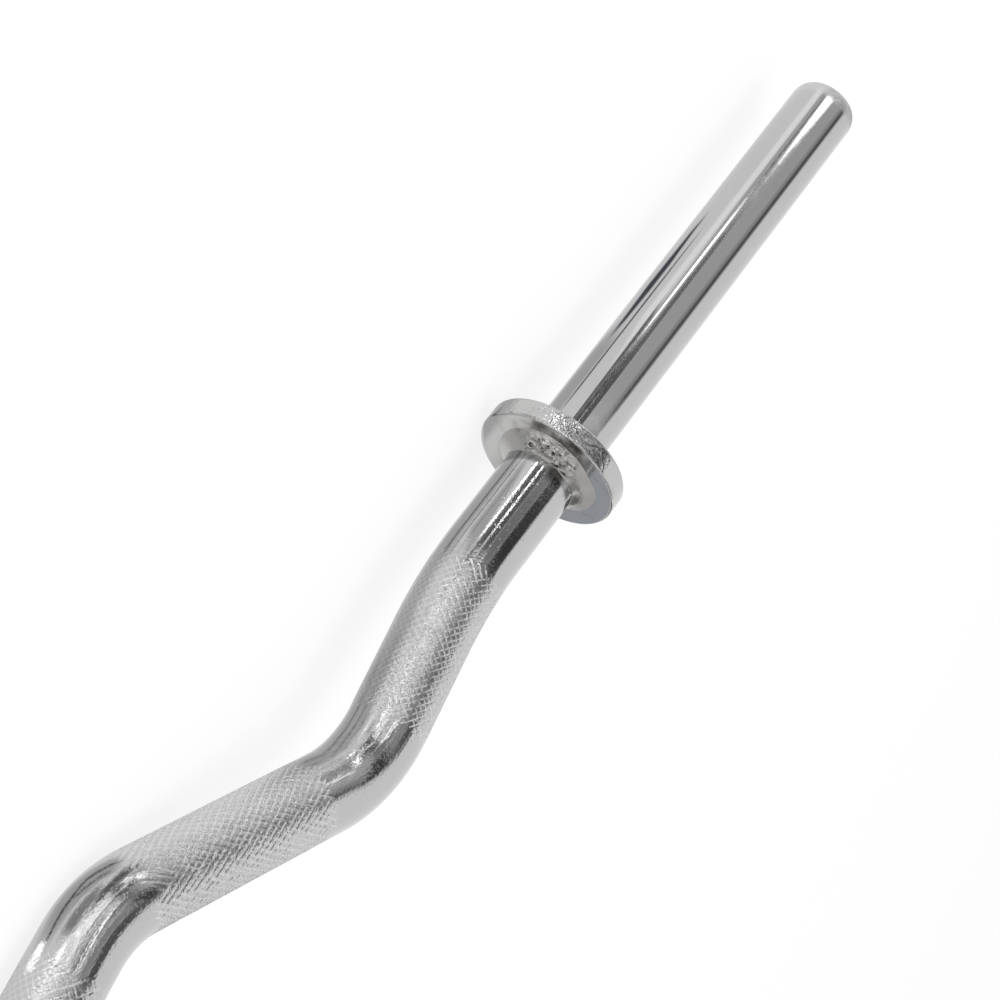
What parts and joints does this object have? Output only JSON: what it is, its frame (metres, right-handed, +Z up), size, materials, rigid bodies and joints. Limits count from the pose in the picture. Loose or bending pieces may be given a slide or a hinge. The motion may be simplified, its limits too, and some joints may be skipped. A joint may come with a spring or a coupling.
{
  "type": "curl bar",
  "caption": "Zigzag chromed steel curl bar with knurled slanted grips, plain round plate sleeves and welded stop rings.",
  "frame": {"origin": "on the floor, under the middle of the bar as it lies at rest", "axes": "+X along the sleeves towards the right end, +Z up, low bends towards +Y"},
  "size_m": [1.1998, 0.0742, 0.055],
  "materials": {
    "knurled_chrome": "chrome plated, knurled on the straight stretches, lightly pitted on the bends",
    "polished_chrome": "smooth chrome plated turned steel",
    "ring_chrome": "satin chrome faces with a rougher rim",
    "weld_chrome": "lumpy chrome plated weld bead"
  },
  "bodies": {
    "root": {"shaft": "knurled_chrome", "left_sleeve": "polished_chrome", "right_sleeve": "polished_chrome", "left_stop_ring": "ring_chrome", "right_stop_ring": "ring_chrome", "left_ring_weld": "weld_chrome", "right_ring_weld": "weld_chrome"}
  },
  "joints": []
}
